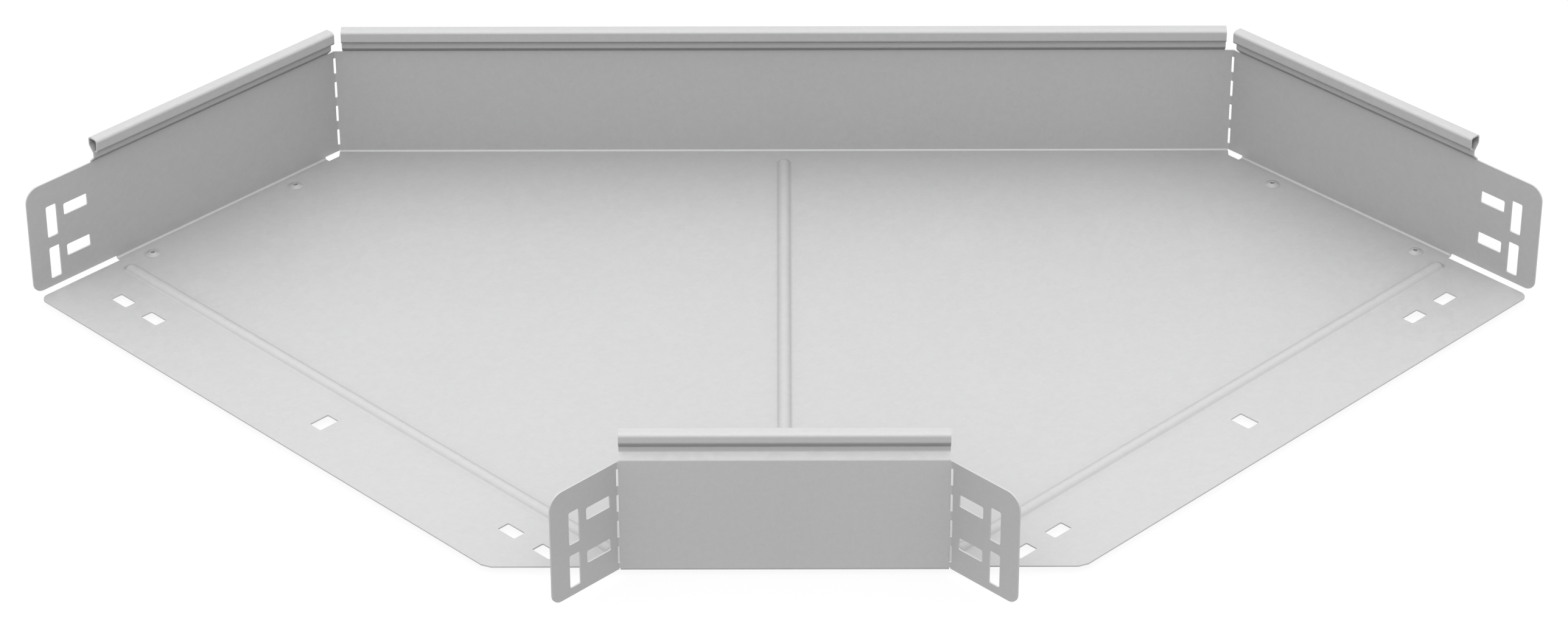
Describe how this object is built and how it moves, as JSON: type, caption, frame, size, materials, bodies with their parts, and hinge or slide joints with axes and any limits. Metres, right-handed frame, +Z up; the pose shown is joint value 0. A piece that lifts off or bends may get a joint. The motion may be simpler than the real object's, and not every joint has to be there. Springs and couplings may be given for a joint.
{
  "type": "cable tray bend",
  "caption": "Flat 90 degree bend for sheet cable tray, with rolled top hems, a short inner bracket, pressed floor beads and slotted ends.",
  "frame": {"origin": "middle of the base of the bounding box, at the foot of the rivet tails", "axes": "+Z up, square to the floor; one leg opens along -X and the other along -Y; the outer corner of the bend points to +X and +Y"},
  "size_m": [0.5664, 0.5664, 0.0839],
  "materials": {
    "galvanised_sheet": "satin light grey zinc coating with a very faint mottle",
    "rivet_steel": "smooth zinc-plated steel",
    "mandrel_steel": "dark broken steel end"
  },
  "bodies": {
    "root": {"tray_sheet": "galvanised_sheet", "rivet_body_west_inner": "rivet_steel", "rivet_body_west_outer": "rivet_steel", "rivet_body_south_inner": "rivet_steel", "rivet_body_south_outer": "rivet_steel", "rivet_mandrel_west_inner": "mandrel_steel", "rivet_mandrel_west_outer": "mandrel_steel", "rivet_mandrel_south_inner": "mandrel_steel", "rivet_mandrel_south_outer": "mandrel_steel"}
  },
  "joints": []
}
